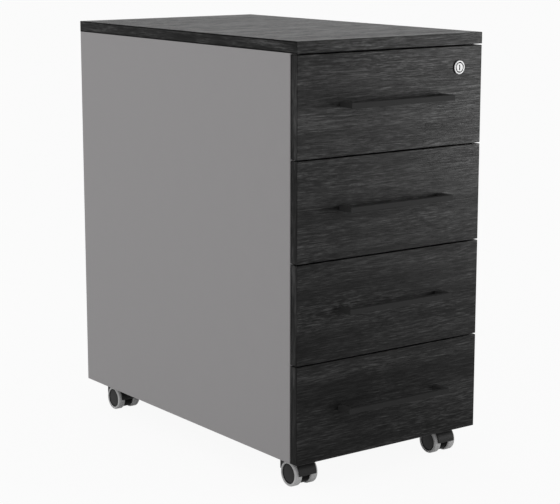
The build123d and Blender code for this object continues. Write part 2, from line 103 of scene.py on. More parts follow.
# Lock
PLUG_BORE = 6.58 * MM
BARREL_RADIUS = 9.0 * MM
LOCK_STEP = 1.5 * MM
LOCK_STEP_DEPTH = 1.0 * MM
LOCK_STEP_EDGE = 0.25 * MM
LOCK_RIM = 1.2 * MM
NUT_SIDES = 6
NUT_WIDTH = 24.0 * MM
NUT_THICKNESS = 4.2 * MM
NUT_CUTS = 7
NUT_EDGE = 0.5 * MM
NUT_CORNER = math.radians(60)

# Screws of the drawers. Each head stops at its own turn, by its place across and up the drawer
PAN_RADIUS = 3.8 * MM
PAN_HEIGHT = 2.4 * MM
PAN_CROWN = 0.35 * MM
PAN_CROWN_RADIUS = 0.85 * PAN_RADIUS
PAN_FULL_WIDTH = 0.5 * PAN_HEIGHT
PAN_EDGE = 0.2 * MM
CROSS_CELL = 0.95 * MM
CROSS_GRID = 5
CROSS_ARMS = 3
CROSS_DRAFT = 0.08 * MM
CROSS_DEPTH = 1.3 * MM
SCREW_RADIUS = 2.0 * MM
SCREW_POINT = 0.6 * MM
FRONT_SCREW_LENGTH = 12.0 * MM
HANDLE_SCREW_INSET = 5.0 * MM
SCREW_TURN_ACROSS = 9.0
SCREW_TURN_UP = 7.0

# Hem of the drawer boxes
HEM_WIDTH = 2.6 * MM
HEM_HEIGHT = 8.0 * MM
HEM_RISE = 0.6 * MM
HEM_PROUD = 0.15 * MM
HEM_ROUND = 1.0 * MM
HEM_FOLD = math.radians(60)

# Finishes in general: where a noise lies, and how far a face's normal is along an axis that it faces
NOISE_MIDDLE = 0.5
NOISE_SPREAD = (0.3, 0.7)
FACES_AXIS = 0.6
NO_TINT = (1.0, 1.0, 1.0)

# Grain of the boards, in cells per metre along X, Y and Z, and how far it sways
GRAIN_SWAY = (6.0, 9.0, 9.0)
GRAIN_SWAY_REACH = 7.0 * MM
GRAIN_BANDS = (3.0, 40.0, 40.0)
GRAIN_STREAKS = (30.0, 560.0, 560.0)
GRAIN_PORES = (90.0, 1000.0, 1000.0)
GRAIN_FLECKS = (70.0, 420.0, 420.0)
FLECK_PATCHES = (6.0, 13.0, 13.0)
EDGING_GRAIN = (9.0, 60.0, 60.0)
PORE_SPREAD = (0.54, 0.68)
PATCH_SPREAD = (0.42, 0.72)
EDGING_LEVEL = 0.53

# How much each part of the grain, and the glue line with its painted gap shadow, lightens or darkens the
# boards, and their greys from dark to light
BANDS_SHARE = 0.32
STREAKS_SHARE = 0.68
FLECKS_SHARE = 0.60
PORES_SHARE = -0.10
GLUE_AND_GAP_SHADOW_SHARE = -0.20
EDGING_SHARE = 0.80
PORE_DEPTH = -0.5
DECOR_GREYS = ((0.34, 0.0020), (0.43, 0.0060), (0.51, 0.0125), (0.59, 0.0300), (0.70, 0.0700))

# Dark glue line along the edging, which at the back of the fronts is also painted shadow of the gap behind
# them and dulls their gloss, and the boards' gloss from the dark to the light of the grain
GLUE_AND_GAP_SHADOW_WIDTH = 2.2 * MM
GLUE_AND_GAP_SHADOW_CORE = 0.7 * GLUE_AND_GAP_SHADOW_WIDTH
GLUE_AND_GAP_SHADOW_GLOSS = 0.3
GLOSS_TONES = (0.40, 0.62)
UPRIGHT_GLOSS = (0.080, 0.100)
LEVEL_GLOSS = (0.030, 0.230)
STREAK_SPREAD = (0.35, 0.65)
STREAK_ROUGHNESS = (0.52, 0.36)

# Powder coats: share of the coat's own level along its tone
PANEL_LEVEL = 0.286
PANEL_TINT = (1.023, 0.992, 1.006)
BOX_LEVEL = 0.30
# black of the handles, also put on the top rails as painted shade of the gap under the top
BLACK_AND_GAP_SHADOW_LEVEL = 0.0300
BLACK_SKIN = {"rough": (0.45, 0.58), "peel": 0.16, "gloss": 0.015}
COAT_CLOUDS_SHARE = 0.6
COAT_SPECKS_SHARE = 0.4
COAT_LEVELS = ((0.10, 0.80), (0.35, 0.97), (0.50, 1.0), (0.65, 1.03))

# Weld spots of the back: dents in the bump, with painted shade darkening their colour
WELD_ROW = 150.0 * MM
WELD_PITCH = 88.0 * MM
WELD_RADIUS = 3.2 * MM
WELD_CORE = 0.6 * WELD_RADIUS
WELD_PAINTED_SHADE = -0.30
WELD_DENT = -14.0

# Zinc plate, with rolling lines per metre along X, Y and Z
ROLLING_LINES = (900.0, 6.0, 900.0)
ZINC_COLOURS = (
    (0.32, (0.50, 0.505, 0.52)),
    (0.50, (0.53, 0.535, 0.55)),
    (0.70, (0.56, 0.565, 0.575)),
)

# Nickel of the lock: painted shade between two depths behind its face, bright again past two depths in the
# front
TURNING_LINES = 5200.0
STEP_SHADE = (0.25 * MM, 0.7 * MM)
TAIL_BRIGHT = (9.0 * MM, 9.5 * MM)
NICKEL_RECESS_SHADE_SHARE = 0.7
NICKEL_CLOUDS_SHARE = 0.3
NICKEL_GREYS = ((0.10, 0.40), (0.25, 0.34), (0.45, 0.05), (0.80, 0.004))

# Moulded pieces: the caster hoods get painted shade below their axle, darker and less glossy there
SKIN_SHARE = 0.5
MOULD_CLOUDS_SHARE = 0.5
PAINTED_SHADE_FADE = 0.6 * MM
PAINTED_SHADE_LEVEL = 0.25
PAINTED_SHADE_GLOSS = 0.15
NYLON = {"dark": 0.009, "light": 0.016, "rough": (0.42, 0.56), "grain": 1400.0, "depth": 0.08 * MM,
         "gloss": 0.2}
SOFT_TREAD = {"dark": 0.49, "light": 0.57, "rough": (0.55, 0.70), "grain": 1000.0, "depth": 0.06 * MM,
              "gloss": 0.4}


class Finish:
    """A material in the making. Its nodes take plain values or other nodes' outputs as inputs."""

    def __init__(self, name, **sockets):
        self.material = bpy.data.materials.new(name)
        self.material.use_nodes = True
        self.tree = self.material.node_tree
        self.shader = self.tree.nodes["Principled BSDF"]
        for socket, value in sockets.items():
            self.shader.inputs[socket.replace("_", " ")].default_value = value
        coordinates = self.node("ShaderNodeTexCoord")
        self.place = coordinates.outputs["Object"]
        self.facing = coordinates.outputs["Normal"]

    def feed(self, socket, value):
        if isinstance(value, bpy.types.NodeSocket):
            self.tree.links.new(value, socket)
        else:
            socket.default_value = value

    def node(self, kind, inputs=(), **settings):
        node = self.tree.nodes.new(kind)
        for name, value in settings.items():
            setattr(node, name, value)
        for socket, value in dict(inputs).items():
            self.feed(node.inputs[socket], value)
        return node

    def axes(self, vector):
        """The parts of a vector, by axis."""
        return self.node("ShaderNodeSeparateXYZ", {0: vector}).outputs

    def length(self, vector):
        return self.node("ShaderNodeVectorMath", {0: vector}, operation="LENGTH").outputs["Value"]

    def stretched(self, place, per_metre):
        """Coordinates multiplied along X, Y and Z, for grain that is longer one way."""
        inputs = {"Vector": place, "Scale": per_metre}
        return self.node("ShaderNodeMapping", inputs).outputs["Vector"]

    def centred(self, centre):
        """Coordinates counted from a point."""
        inputs = {"Vector": self.place, "Location": [-part for part in centre]}
        return self.node("ShaderNodeMapping", inputs).outputs["Vector"]

    def noise(self, place, scale=1.0, detail=3.0, roughness=0.5):
        inputs = {"Vector": place, "Scale": scale, "Detail": detail, "Roughness": roughness}
        return self.node("ShaderNodeTexNoise", inputs).outputs["Fac"]

    def math(self, operation, *values):
        return self.node("ShaderNodeMath", enumerate(values), operation=operation).outputs["Value"]

    def weighted(self, *parts):
        """Sum of values, each times its share."""
        total = 0.0
        for value, share in parts:
            total = self.math("MULTIPLY_ADD", value, share, total)
        return total

    def mix(self, kind, factor, first, second):
        """The first where the factor is nought, the second where it is one."""
        node = self.node("ShaderNodeMix", {"Factor": factor}, data_type=kind)
        self.feed(node.inputs["A"], first)
        self.feed(node.inputs["B"], second)
        return node.outputs["Result"]

    def span(self, value, low, high, to_low=0.0, to_high=1.0):
        """Value stretched from one range to another, and held at its ends."""
        inputs = {"Value": value, "From Min": low, "From Max": high, "To Min": to_low, "To Max": to_high}
        return self.node("ShaderNodeMapRange", inputs, clamp=True).outputs["Result"]

    def faces(self, part):
        """One where the normal is mostly along an axis, given the normal's part along it."""
        return self.math("GREATER_THAN", self.math("ABSOLUTE", part), FACES_AXIS)

    def near(self, value, *places):
        """One near any of the places, within the width of the glue line and its painted gap shadow, and
        nought elsewhere.
        """
        total = 0.0
        for place in places:
            distance = self.math("ABSOLUTE", self.math("SUBTRACT", value, place))
            total = self.math("ADD", self.span(distance, GLUE_AND_GAP_SHADOW_CORE, GLUE_AND_GAP_SHADOW_WIDTH, 1.0, 0.0), total)
        return total

    def colours(self, factor, *stops):
        """Colour along stops of (position, colour)."""
        node = self.node("ShaderNodeValToRGB", {"Fac": factor})
        elements = node.color_ramp.elements
        while len(elements) < len(stops):
            elements.new(1.0)
        for element, (position, colour) in zip(elements, stops):
            element.position = position
            element.color = (*colour, 1.0)
        self.set("Base Color", node.outputs["Color"])

    def greys(self, factor, stops, level=1.0, tint=NO_TINT):
        """Greys along stops of (position, share of the level), with a faint tint."""
        self.colours(factor, *((at, [level * share * part for part in tint]) for at, share in stops))

    def bump(self, height, strength, depth):
        inputs = {"Height": height, "Strength": strength, "Distance": depth}
        self.set("Normal", self.node("ShaderNodeBump", inputs).outputs["Normal"])

    def set(self, socket, value):
        self.feed(self.shader.inputs[socket], value)


def charcoal_decor(name, swap, glue_and_gap_shadow_axis, *glue_and_gap_shadow_places):
    """Printed charcoal oak on board, grain along X on the faces. On the side edges two axes swap."""
    finish = Finish(name)
    normal = finish.axes(finish.facing)
    on_edge = finish.faces(normal["X"])
    level = finish.faces(normal["Z"])
    axes = finish.axes(finish.place)
    swapped = finish.node("ShaderNodeCombineXYZ", {i: axes[axis] for i, axis in enumerate(swap)})
    flat = finish.mix("VECTOR", on_edge, finish.place, swapped.outputs["Vector"])

    sway = finish.noise(finish.stretched(flat, GRAIN_SWAY), detail=2.0)
    sway = finish.math("MULTIPLY", finish.math("SUBTRACT", sway, NOISE_MIDDLE), GRAIN_SWAY_REACH)
    shift = finish.node("ShaderNodeCombineXYZ", {"Y": sway, "Z": sway}).outputs["Vector"]
    along = finish.node("ShaderNodeVectorMath", {0: flat, 1: shift}, operation="ADD").outputs["Vector"]

    bands = finish.noise(finish.stretched(along, GRAIN_BANDS), detail=2.0)
    streaks = finish.noise(finish.stretched(along, GRAIN_STREAKS), detail=4.0, roughness=0.70)
    pores = finish.noise(finish.stretched(along, GRAIN_PORES), detail=2.0)
    pores = finish.span(pores, *PORE_SPREAD)
    flecks = finish.noise(finish.stretched(along, GRAIN_FLECKS), detail=2.0)
    patches = finish.noise(finish.stretched(flat, FLECK_PATCHES), detail=2.0)
    patches = finish.span(patches, *PATCH_SPREAD)
    flecks = finish.math("MULTIPLY", finish.math("SUBTRACT", flecks, NOISE_MIDDLE), patches)
    # glue line along the edging; at the back of the fronts it is also painted shadow of the gap between front
    # and carcass
    glue_and_gap_shadow = finish.math("MULTIPLY", finish.near(axes[glue_and_gap_shadow_axis], *glue_and_gap_shadow_places), on_edge)
    edging = finish.noise(finish.stretched(flat, EDGING_GRAIN), detail=4.0, roughness=0.6)
    edging = finish.math("MULTIPLY", finish.math("SUBTRACT", edging, EDGING_LEVEL), on_edge)

    tone = finish.weighted(
        (streaks, STREAKS_SHARE),
        (bands, BANDS_SHARE),
        (flecks, FLECKS_SHARE),
        (pores, PORES_SHARE),
        (glue_and_gap_shadow, GLUE_AND_GAP_SHADOW_SHARE),
        (edging, EDGING_SHARE),
    )
    upright_gloss = finish.span(tone, *GLOSS_TONES, *UPRIGHT_GLOSS)
    level_gloss = finish.span(tone, *GLOSS_TONES, *LEVEL_GLOSS)
    gloss = finish.mix("FLOAT", level, upright_gloss, level_gloss)
    # the glue line and painted gap shadow dull the gloss too
    glue_and_gap_shadow_dulls = finish.span(glue_and_gap_shadow, 0.0, 1.0, 1.0, GLUE_AND_GAP_SHADOW_GLOSS)
    finish.set("Specular IOR Level", finish.math("MULTIPLY", gloss, glue_and_gap_shadow_dulls))
    finish.greys(tone, DECOR_GREYS)
    finish.set("Roughness", finish.span(streaks, *STREAK_SPREAD, *STREAK_ROUGHNESS))
    finish.bump(finish.weighted((streaks, 1.0), (pores, PORE_DEPTH)), strength=0.5, depth=0.25 * MM)
    return finish.material


def powder_coat(name, level, tint=NO_TINT, rough=(0.42, 0.55), peel=0.10, gloss=0.4, weld_row=None):
    """Baked powder paint with faint clouding and orange peel, over rows of weld spots if there are any, their
    dents darkened by painted shade.
    """
    finish = Finish(name, Specular_IOR_Level=gloss)
    clouds = finish.noise(finish.place, scale=22.0, detail=3.0)
    specks = finish.noise(finish.place, scale=900.0, detail=1.0)
    skin = finish.noise(finish.place, scale=620.0, detail=2.0)
    tone = finish.weighted((clouds, COAT_CLOUDS_SHARE), (specks, COAT_SPECKS_SHARE))
    if weld_row:
        axes = finish.axes(finish.place)
        along = finish.math("PINGPONG", axes["Z"], WELD_PITCH / 2)
        across = finish.math("SUBTRACT", finish.math("ABSOLUTE", axes["X"]), weld_row)
        spot = finish.node("ShaderNodeCombineXYZ", {0: along, 1: across}).outputs["Vector"]
        weld_dent_and_shade = finish.span(finish.length(spot), WELD_CORE, WELD_RADIUS, 1.0, 0.0)
        # painted shade in the weld dents
        tone = finish.weighted((tone, 1.0), (weld_dent_and_shade, WELD_PAINTED_SHADE))
        skin = finish.weighted((skin, 1.0), (weld_dent_and_shade, WELD_DENT))
    finish.greys(tone, COAT_LEVELS, level, tint)
    finish.set("Roughness", finish.span(clouds, *NOISE_SPREAD, *rough))
    finish.bump(skin, strength=peel, depth=0.2 * MM)
    return finish.material


def zinc_plate(name):
    """Bright zinc plating on rolled strip, with rolling lines along Y."""
    finish = Finish(name, Metallic=1.0)
    lines = finish.noise(finish.stretched(finish.place, ROLLING_LINES), detail=4.0, roughness=0.6)
    clouds = finish.noise(finish.place, scale=45.0, detail=3.0)
    finish.colours(clouds, *ZINC_COLOURS)
    finish.set("Roughness", finish.span(lines, *NOISE_SPREAD, to_low=0.34, to_high=0.46))
    finish.bump(lines, strength=0.10, depth=0.03 * MM)
    return finish.material


def turned_nickel(name, centre, face):
    """Nickel plate turned about the lock axis, with painted shade where the face steps back into the front.
    """
    finish = Finish(name, Metallic=1.0)
    from_axis = finish.stretched(finish.centred(centre), (1.0, 0.0, 1.0))
    turning = {"W": finish.length(from_axis), "Scale": TURNING_LINES}
    rings = finish.node("ShaderNodeTexNoise", turning, noise_dimensions="1D").outputs["Fac"]
    clouds = finish.noise(finish.place, scale=300.0, detail=3.0)
    depth = finish.axes(finish.place)["Y"]
    # painted shade in the step, keyway and flange side behind the lock's face
    painted_recess_shade = finish.span(depth, *(face + part for part in STEP_SHADE))
    behind = finish.span(depth, *(centre.y + part for part in TAIL_BRIGHT))
    painted_recess_shade = finish.math("SUBTRACT", painted_recess_shade, behind)
    tone = finish.weighted((painted_recess_shade, NICKEL_RECESS_SHADE_SHARE), (clouds, NICKEL_CLOUDS_SHARE))
    finish.greys(tone, NICKEL_GREYS)
    finish.set("Roughness", finish.span(rings, *NOISE_SPREAD, to_low=0.60, to_high=0.70))
    finish.bump(rings, strength=0.15, depth=0.03 * MM)
    return finish.material


def moulded(name, dark, light, rough, grain, depth, gloss, painted_shade_below=None):
    """Moulded plastic or rubber with a fine spark-eroded skin, and painted shade below a given height that
    darkens it and dulls its gloss.
    """
    finish = Finish(name)
    clouds = finish.noise(finish.place, scale=60.0, detail=3.0)
    skin = finish.noise(finish.place, scale=grain, detail=2.0)
    tone = finish.weighted((clouds, MOULD_CLOUDS_SHARE), (skin, SKIN_SHARE))
    if painted_shade_below:
        height = finish.axes(finish.place)["Z"]
        # painted shade: darker and less glossy below the given height
        low = finish.span(height, painted_shade_below - PAINTED_SHADE_FADE, painted_shade_below, 1.0, 0.0)
        tone = finish.math("SUBTRACT", tone, low)
        gloss = finish.span(low, 0.0, 1.0, gloss, gloss * PAINTED_SHADE_GLOSS)
    finish.set("Specular IOR Level", gloss)
    # the darkest stop is the grey of the painted shade
    finish.greys(tone, ((0.0, dark * PAINTED_SHADE_LEVEL), (0.35, dark), (0.65, light)))
    finish.set("Roughness", finish.span(skin, *NOISE_SPREAD, *rough))
    finish.bump(skin, strength=0.3, depth=depth)
    return finish.material


def finishes(lock_centre):
    """Every finish of the object, by plain name."""
    top_low, top_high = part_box("top_panel")
    axle_low, axle_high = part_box("front_left_caster_axle")
    axle_z = (axle_low.z + axle_high.z) / 2
    front_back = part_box("drawer_1_front")[1].y
    lock_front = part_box("lock_barrel")[0].y
    return {
        "front_decor": charcoal_decor("charcoal_front_decor", "ZYX", "Y", front_back),
        "top_decor": charcoal_decor("charcoal_top_decor", "YXZ", "Z", top_low.z, top_high.z),
        "grey_coat": powder_coat("grey_powder_coat", PANEL_LEVEL, PANEL_TINT),
        "back_coat": powder_coat("grey_powder_coat_back", PANEL_LEVEL, PANEL_TINT, weld_row=WELD_ROW),
        "box_coat": powder_coat("drawer_box_powder_coat", BOX_LEVEL),
        "black_coat_and_gap_shade": powder_coat("black_powder_coat_and_gap_shade", BLACK_AND_GAP_SHADOW_LEVEL, **BLACK_SKIN),
        "zinc": zinc_plate("zinc_plate"),
        "nickel": turned_nickel("turned_nickel", lock_centre, lock_front),
        "nylon": moulded("black_nylon", **NYLON),
        "hood_nylon": moulded("black_hood_nylon_painted_shade", **NYLON, painted_shade_below=axle_z),
        "tread": moulded("grey_soft_tread", **SOFT_TREAD),
    }


def finish_for_node(node):
    """Which finish a CAD node wears."""
    endings = (
        ("top_panel", "top_decor"),
        ("_front", "front_decor"),
        ("_handle", "black_coat_and_gap_shade"),
        ("_box", "box_coat"),
        ("_side_panel", "grey_coat"),
        ("back_panel", "back_coat"),
        ("bottom_panel", "grey_coat"),
        # the top rails wear black as painted shade of the gap under the top
        ("top_rails", "black_coat_and_gap_shade"),
        ("lock_barrel", "nickel"),
        ("lock_plug", "nickel"),
        ("_hood", "hood_nylon"),
        ("_hub", "nylon"),
        ("_tyre", "tread"),
    )
    for ending, finish in endings:
        if node.endswith(ending):
            return finish
    return "zinc"


def dress_frame(finish):
    """Gives every CAD node its finish."""
    for name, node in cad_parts.items():
        node.data.materials.clear()
        node.data.materials.append(finish[finish_for_node(name)])


def piece(name, mesh, material, body, replaces=()):
    """Turns a bmesh into a named piece that rides on a body and may stand for CAD nodes."""
    data = bpy.data.meshes.new(name)
    mesh.to_mesh(data)
    mesh.free()
    data.materials.append(material)
    data.shade_smooth()
    data.set_sharp_from_angle(angle=SHARP_EDGE)
    made = bpy.data.objects.new(name, data)
    bpy.context.scene.collection.objects.link(made)
    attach(made, body)
    if replaces:
        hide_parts(*replaces)
    return made


def turned(profile, centre, axis, closed=False):
    """Spins a profile of (along, radius) points about the axis through centre."""
    mesh = bmesh.new()
    outward = axis.orthogonal().normalized()
    points = [mesh.verts.new(centre + axis * along + outward * radius) for along, radius in profile]
    ends = zip(points, points[1:] + points[:1]) if closed else zip(points, points[1:])
    edges = [mesh.edges.new(pair) for pair in ends]
    bmesh.ops.spin(
        mesh,
        geom=points + edges,
        cent=centre,
        axis=axis,
        angle=math.tau,
        steps=LATHE_STEPS,
        use_merge=True,
    )
    bmesh.ops.remove_doubles(mesh, verts=mesh.verts, dist=SAME_POINT)
    bmesh.ops.recalc_face_normals(mesh, faces=mesh.faces)
    return mesh


def rounded(mesh, edges, width, segments):
    """Rounds edges of a mesh."""
    bmesh.ops.bevel(
        mesh,
        geom=edges,
        offset=width,
        affect="EDGES",
        segments=segments,
        profile=0.5,
        material=-1,
    )


def round_ring(mesh, centre, axis, along, radius, width):
    """Rounds the ring edge of a turned mesh that lies at that place along the axis and that radius."""

    def on_ring(vert):
        offset = vert.co - centre
        here = offset.dot(axis)
        out = (offset - axis * here).length
        return abs(here - along) < SAME_RING and abs(out - radius) < SAME_RING

    ring = [edge for edge in mesh.edges if on_ring(edge.verts[0]) and on_ring(edge.verts[1])]
    rounded(mesh, ring, width, segments=5)


def wheel(caster, side, finish):
    """Tyre and hub of one wheel. Along the axle, 0 is the outer face and the wheel's width is inside."""
    name = f"{caster}_caster_{side}"
    body = f"{name}_wheel"
    low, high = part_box(f"{name}_tyre")
    outer_x = high.x if SIDES[side] > 0 else low.x
    centre = Vector((outer_x, (low.y + high.y) / 2, (low.z + high.z) / 2))
    inward = Vector((-SIDES[side], 0.0, 0.0))
    width = high.x - low.x
    radius = (high.z - low.z) / 2
    hub_low, hub_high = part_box(f"{name}_hub")
    bore = (hub_high.z - hub_low.z) / 2

    seam = width / 2
    tyre = turned([
        (TYRE_LIP, bore),
        (0.0, bore + TYRE_LIP),
        (0.0, radius),
        (seam - TREAD_SEAM, radius),
        (seam, radius - TREAD_SEAM),
        (seam + TREAD_SEAM, radius),
        (width, radius),
        (width, bore),
    ], centre, inward, closed=True)
    round_ring(tyre, centre, inward, 0.0, radius, SHOULDER)
    round_ring(tyre, centre, inward, width, radius, SHOULDER)
    piece(f"{name}_tread", tyre, finish["tread"], body, [f"{name}_tyre"])

    groove_out = bore - TYRE_LIP
    groove_in = groove_out - HUB_GROOVE
    floor = HUB_SETBACK + HUB_GROOVE_DEPTH
    hub = turned([
        (HUB_SETBACK - HUB_DOME, 0.0),
        (HUB_SETBACK - HUB_DOME * DOME_BEND_HEIGHT, groove_in * DOME_BEND_RADIUS),
        (HUB_SETBACK, groove_in),
        (floor, groove_in - TREAD_SEAM),
        (floor, groove_out),
        (HUB_SETBACK, groove_out),
        (HUB_SETBACK, bore),
        (width - HUB_BACK, bore),
        (width - HUB_BACK, AXLE_BORE),
        (HUB_SETBACK + AXLE_CAP, AXLE_BORE),
        (HUB_SETBACK + AXLE_CAP, 0.0),
    ], centre, inward)
    round_ring(hub, centre, inward, HUB_SETBACK, groove_in, HUB_EDGE)
    piece(f"{name}_wheel_disc", hub, finish["nylon"], body, [f"{name}_hub"])


def lock_face(finish, centre):
    """Flanged lock barrel with a step round its plug, and the nut that holds it behind the front."""
    low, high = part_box("lock_barrel")
    front_low, front_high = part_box("drawer_1_front")
    out = Vector((0.0, -1.0, 0.0))
    rim = (high.x - low.x) / 2
    face = front_low.y - low.y
    tail = front_low.y - high.y
    step = PLUG_BORE + LOCK_STEP
    ring = turned([
        (face - LOCK_STEP_DEPTH, PLUG_BORE),
        (face - LOCK_STEP_DEPTH, step),
        (face, step),
        (face, rim),
        (0.0, rim),
        (0.0, BARREL_RADIUS),
        (tail, BARREL_RADIUS),
        (tail, PLUG_BORE),
    ], centre, out, closed=True)
    round_ring(ring, centre, out, face, rim, LOCK_RIM)
    round_ring(ring, centre, out, face, step, LOCK_STEP_EDGE)
    piece("lock_barrel_turned", ring, finish["nickel"], "drawer_1", ["lock_barrel"])

    nut = bmesh.new()
    bmesh.ops.create_circle(nut, segments=NUT_SIDES, radius=NUT_WIDTH / 2 / math.cos(math.pi / NUT_SIDES))
    bmesh.ops.subdivide_edges(nut, edges=nut.edges[:], cuts=NUT_CUTS)
    bmesh.ops.create_circle(nut, segments=NUT_SIDES * (NUT_CUTS + 1), radius=BARREL_RADIUS)
    bmesh.ops.bridge_loops(nut, edges=nut.edges[:])
    bmesh.ops.solidify(nut, geom=nut.faces[:], thickness=NUT_THICKNESS)
    bmesh.ops.recalc_face_normals(nut, faces=nut.faces[:])
    bmesh.ops.rotate(nut, verts=nut.verts[:], cent=(0, 0, 0), matrix=Matrix.Rotation(math.pi / 2, 3, "X"))
    seat = front_high.y - max(v.co.y for v in nut.verts) + NUT_THICKNESS
    bmesh.ops.translate(nut, verts=nut.verts[:], vec=(centre.x, seat, centre.z))
    rounded(nut, [e for e in nut.edges if e.calc_face_angle(0.0) > NUT_CORNER], NUT_EDGE, segments=2)
    piece("lock_nut", nut, finish["zinc"], "drawer_1")


def box_hem(number, finish):
    """Hem folded over the upper edge of a drawer box."""
    low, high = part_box(f"drawer_{number}_box")
    # the lug of the lock widens the box on its right, so its left side gives the width
    width = 2 * (HEM_PROUD - low.x)
    depth = high.y - low.y
    mesh = bmesh.new()
    bmesh.ops.create_grid(mesh, x_segments=1, y_segments=1, size=0.5)
    bmesh.ops.scale(mesh, vec=(width, depth, 1.0), verts=mesh.verts[:])
    rim = bmesh.ops.inset_region(
        mesh,
        faces=mesh.faces[:],
        thickness=HEM_WIDTH,
        use_boundary=True,
        use_even_offset=True,
    )["faces"]
    bmesh.ops.delete(mesh, geom=[f for f in mesh.faces if f not in rim], context="FACES")
    bmesh.ops.solidify(mesh, geom=mesh.faces[:], thickness=HEM_HEIGHT)
    bmesh.ops.recalc_face_normals(mesh, faces=mesh.faces[:])
    top = max(v.co.z for v in mesh.verts)
    place = (0.0, (low.y + high.y) / 2 + HEM_PROUD, high.z + HEM_RISE - top)
    bmesh.ops.translate(mesh, verts=mesh.verts[:], vec=place)
    upper = [edge for edge in mesh.edges if all(vert.co.z > high.z for vert in edge.verts)]
    rounded(mesh, [edge for edge in upper if edge.calc_face_angle(0.0) > HEM_FOLD], HEM_ROUND, segments=4)
    piece(f"drawer_{number}_box_hem", mesh, finish["box_coat"], f"drawer_{number}")


def pan_screw(shank):
    """Pan head screw with a cross recess, its head up and its seat at the origin."""
    mesh = bmesh.new()
    size = CROSS_CELL * CROSS_GRID / 2
    grid = bmesh.ops.create_grid(mesh, x_segments=CROSS_GRID, y_segments=CROSS_GRID, size=size)["verts"]
    bmesh.ops.translate(mesh, verts=grid, vec=(0.0, 0.0, PAN_HEIGHT))
    cross = []
    for face in mesh.faces:
        x, y, _ = face.calc_center_median()
        near, far = sorted((abs(x), abs(y)))
        if near < CROSS_CELL / 2 and far < CROSS_CELL * CROSS_ARMS / 2:
            cross.append(face)
    rim = [edge for edge in mesh.edges if edge.is_boundary]
    bmesh.ops.inset_region(mesh, faces=cross, thickness=CROSS_DRAFT, depth=-CROSS_DEPTH, use_even_offset=True)
    radius = PAN_CROWN_RADIUS
    height = PAN_HEIGHT - PAN_CROWN
    crown = bmesh.ops.create_circle(mesh, segments=len(rim), radius=radius)["verts"]
    bmesh.ops.rotate(mesh, verts=crown, cent=(0, 0, 0), matrix=Matrix.Rotation(math.pi / 4, 3, "Z"))
    bmesh.ops.translate(mesh, verts=crown, vec=(0.0, 0.0, height))
    loop = [edge for edge in mesh.edges if all(vert in crown for vert in edge.verts)]
    bmesh.ops.bridge_loops(mesh, edges=rim + loop)
    for next_radius, next_height in (
        (PAN_RADIUS, PAN_FULL_WIDTH),
        (PAN_RADIUS, PAN_EDGE),
        (PAN_RADIUS - PAN_EDGE, 0.0),
        (SCREW_RADIUS + PAN_EDGE, 0.0),
        (SCREW_RADIUS, -PAN_EDGE),
        (SCREW_RADIUS, SCREW_POINT - shank),
        (SCREW_RADIUS - SCREW_POINT, -shank),
    ):
        made = bmesh.ops.extrude_edge_only(mesh, edges=loop)["geom"]
        ring = [item for item in made if isinstance(item, bmesh.types.BMVert)]
        loop = [item for item in made if isinstance(item, bmesh.types.BMEdge) and item.is_boundary]
        change = next_radius / radius
        bmesh.ops.scale(mesh, verts=ring, vec=(change, change, 1.0))
        bmesh.ops.translate(mesh, verts=ring, vec=(0.0, 0.0, next_height - height))
        radius, height = next_radius, next_height
    bmesh.ops.holes_fill(mesh, edges=loop)
    return mesh


def drawer_screws(number, finish):
    """Screws that hold a front and its handle to the drawer box, heads inside the box."""
    low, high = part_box(f"drawer_{number}_screws")
    handle_low, handle_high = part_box(f"drawer_{number}_handle")
    seat = high.y - PAN_HEIGHT
    handle_z = (handle_low.z + handle_high.z) / 2
    handle_x = (handle_high.x - handle_low.x) / 2 - HANDLE_SCREW_INSET
    front_x = high.x - PAN_RADIUS
    rows = (
        (handle_x, handle_z, seat - low.y),
        (front_x, low.z + PAN_RADIUS, FRONT_SCREW_LENGTH),
        (front_x, high.z - PAN_RADIUS, FRONT_SCREW_LENGTH),
    )
    mesh = bmesh.new()
    for row_x, z, shank in rows:
        for side in SIDES.values():
            x = side * row_x
            screw = pan_screw(shank)
            turn = Matrix.Rotation(x * SCREW_TURN_ACROSS + z * SCREW_TURN_UP, 4, "Z")
            lay = Matrix.Rotation(-math.pi / 2, 4, "X")
            place = Matrix.Translation((x, seat, z)) @ lay @ turn
            bmesh.ops.transform(screw, matrix=place, verts=screw.verts[:])
            holder = bpy.data.meshes.new("screw")
            screw.to_mesh(holder)
            screw.free()
            mesh.from_mesh(holder)
            bpy.data.meshes.remove(holder)
    bmesh.ops.recalc_face_normals(mesh, faces=mesh.faces[:])
    heads = piece(f"drawer_{number}_pan_screws", mesh, finish["zinc"], f"drawer_{number}",
                  [f"drawer_{number}_screws"])
    rounding = heads.modifiers.new("rounding", "SUBSURF")
    rounding.levels = 1
    rounding.render_levels = 1


def white_for_seen(tree):
    """1 for rays from the eye and for reflected or passing rays, and 0 for the light itself."""
    rays = tree.nodes.new("ShaderNodeLightPath")
    value = rays.outputs["Is Camera Ray"]
    for other in ("Is Glossy Ray", "Is Transmission Ray"):
        larger = tree.nodes.new("ShaderNodeMath")
        larger.operation = "MAXIMUM"
        tree.links.new(value, larger.inputs[0])
        tree.links.new(rays.outputs[other], larger.inputs[1])
        value = larger.outputs[0]
    return value


